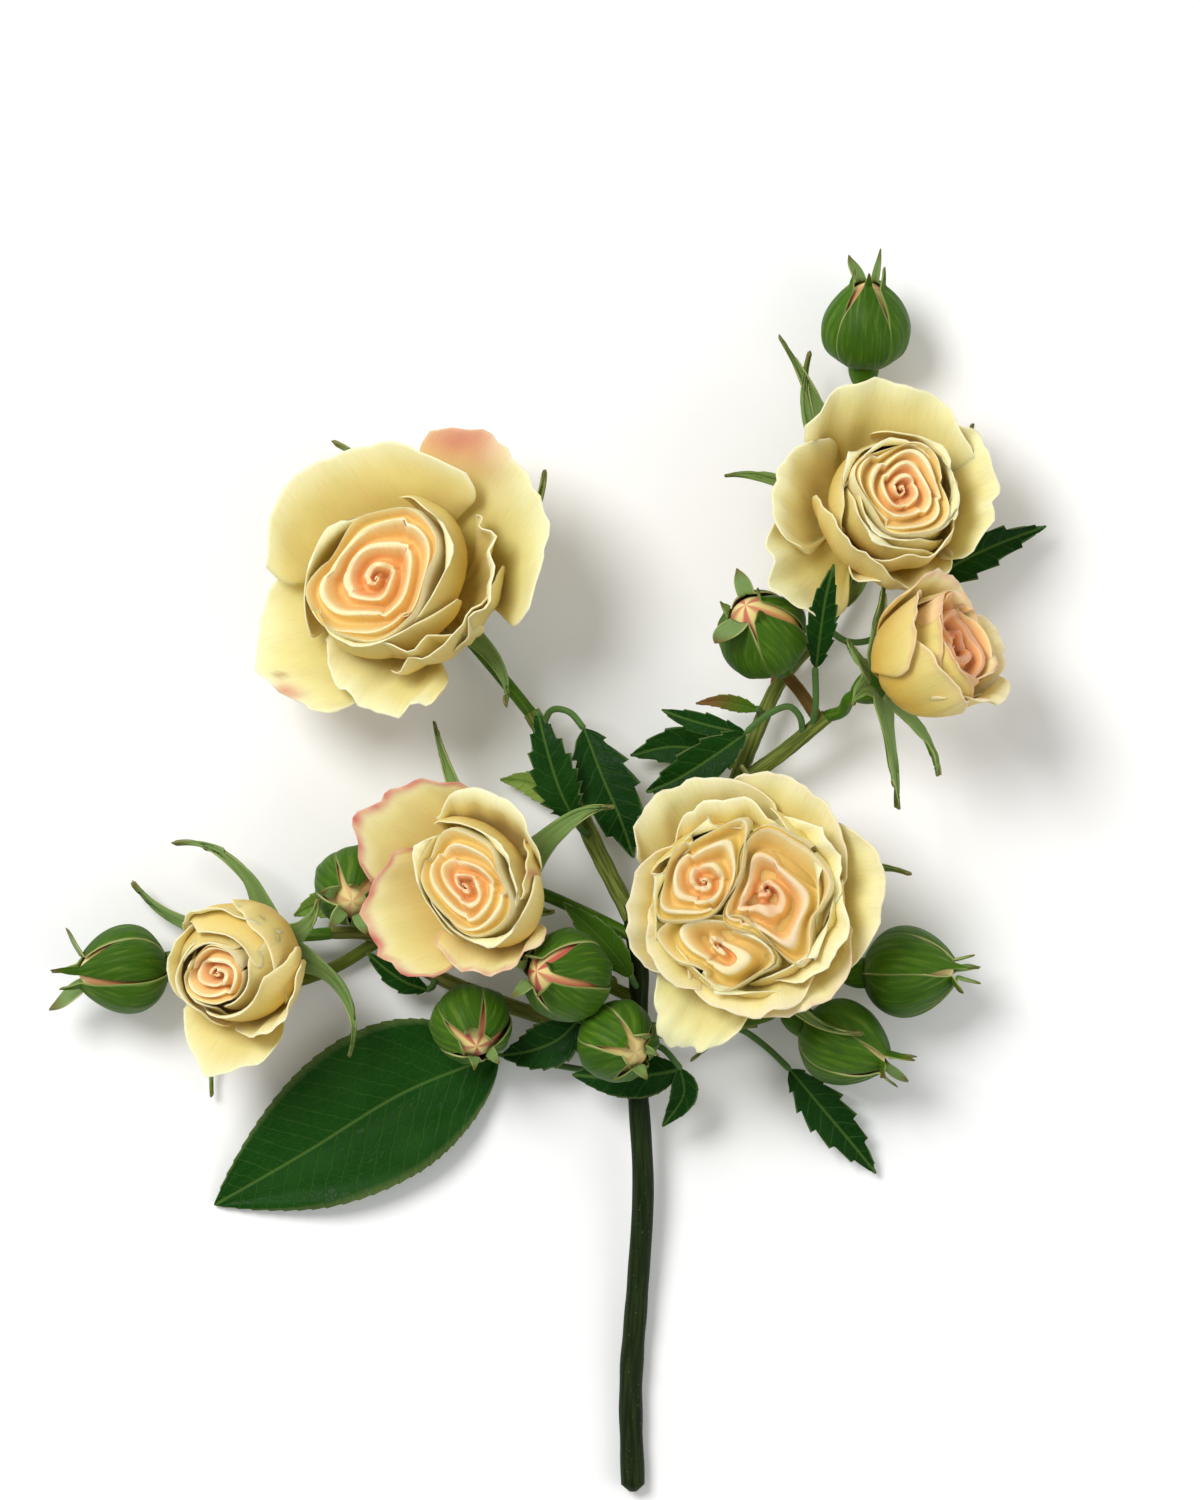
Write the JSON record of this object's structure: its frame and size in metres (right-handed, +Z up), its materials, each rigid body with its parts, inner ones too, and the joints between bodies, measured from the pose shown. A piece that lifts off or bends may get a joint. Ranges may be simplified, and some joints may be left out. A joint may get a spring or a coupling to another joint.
{
  "type": "cut spray rose",
  "caption": "Cut spray rose lying on a surface: cream-yellow open blooms, green buds and leaves on one branching stem.",
  "frame": {"origin": "middle of the underside of the lying stem's bounding box, on the surface it lies on", "axes": "+Y along the stem from its cut end towards the flowers, +Z up from the surface, +X to the right seen from above"},
  "size_m": [0.1806, 0.2254, 0.044],
  "materials": {
    "petal": "matte, cream yellow",
    "heart": "matte, peach orange",
    "calyx": "matte green",
    "bud": "matte, cream with red streaks",
    "leaf": "satin dark green",
    "stem": "satin dark olive green"
  },
  "bodies": {
    "root": {"bloom_centre_left_calyx": "calyx", "bloom_centre_left_heart": "heart", "bloom_centre_left_petals": "petal", "bloom_half_open_calyx": "calyx", "bloom_half_open_heart": "heart", "bloom_half_open_petals": "petal", "bloom_left_calyx": "calyx", "bloom_left_guard_petals": "petal", "bloom_left_heart": "heart", "bloom_left_inner_petals": "petal", "bloom_quartered_calyx": "calyx", "bloom_quartered_guard_petals": "petal", "bloom_quartered_heart": "heart", "bloom_quartered_inner_petals": "petal", "bloom_small_left_calyx": "calyx", "bloom_small_left_heart": "heart", "bloom_small_left_petals": "petal", "bloom_upper_right_calyx": "calyx", "bloom_upper_right_guard_petals": "petal", "bloom_upper_right_heart": "heart", "bloom_upper_right_inner_petals": "petal", "bract_centre": "leaf", "bract_far_left": "leaf", "bract_left": "leaf", "bract_upper": "leaf", "bud_centre_calyx": "calyx", "bud_centre_petals": "bud", "bud_far_left_calyx": "calyx", "bud_far_left_petals": "bud", "bud_left_calyx": "calyx", "bud_left_petals": "bud", "bud_lower_centre_calyx": "calyx", "bud_lower_centre_petals": "bud", "bud_lower_left_calyx": "calyx", "bud_lower_left_petals": "bud", "bud_lower_right_calyx": "calyx", "bud_lower_right_petals": "bud", "bud_right_calyx": "calyx", "bud_right_petals": "bud", "bud_top_calyx": "calyx", "bud_top_petals": "bud", "bud_upper_calyx": "calyx", "bud_upper_petals": "bud", "leaf_back": "leaf", "leaf_centre": "leaf", "leaf_fan": "leaf", "leaf_forked": "leaf", "leaf_front": "leaf", "leaf_large_left": "leaf", "leaf_lower_right": "leaf", "leaf_pale_back": "leaf", "leaf_right": "leaf", "leaf_serrated_left": "leaf", "main_stem": "stem", "shoot_left": "stem", "shoot_lower_right": "stem", "shoot_right": "stem", "shoot_tip": "leaf", "shoot_top": "stem", "shoot_upper_left": "stem"}
  },
  "joints": []
}
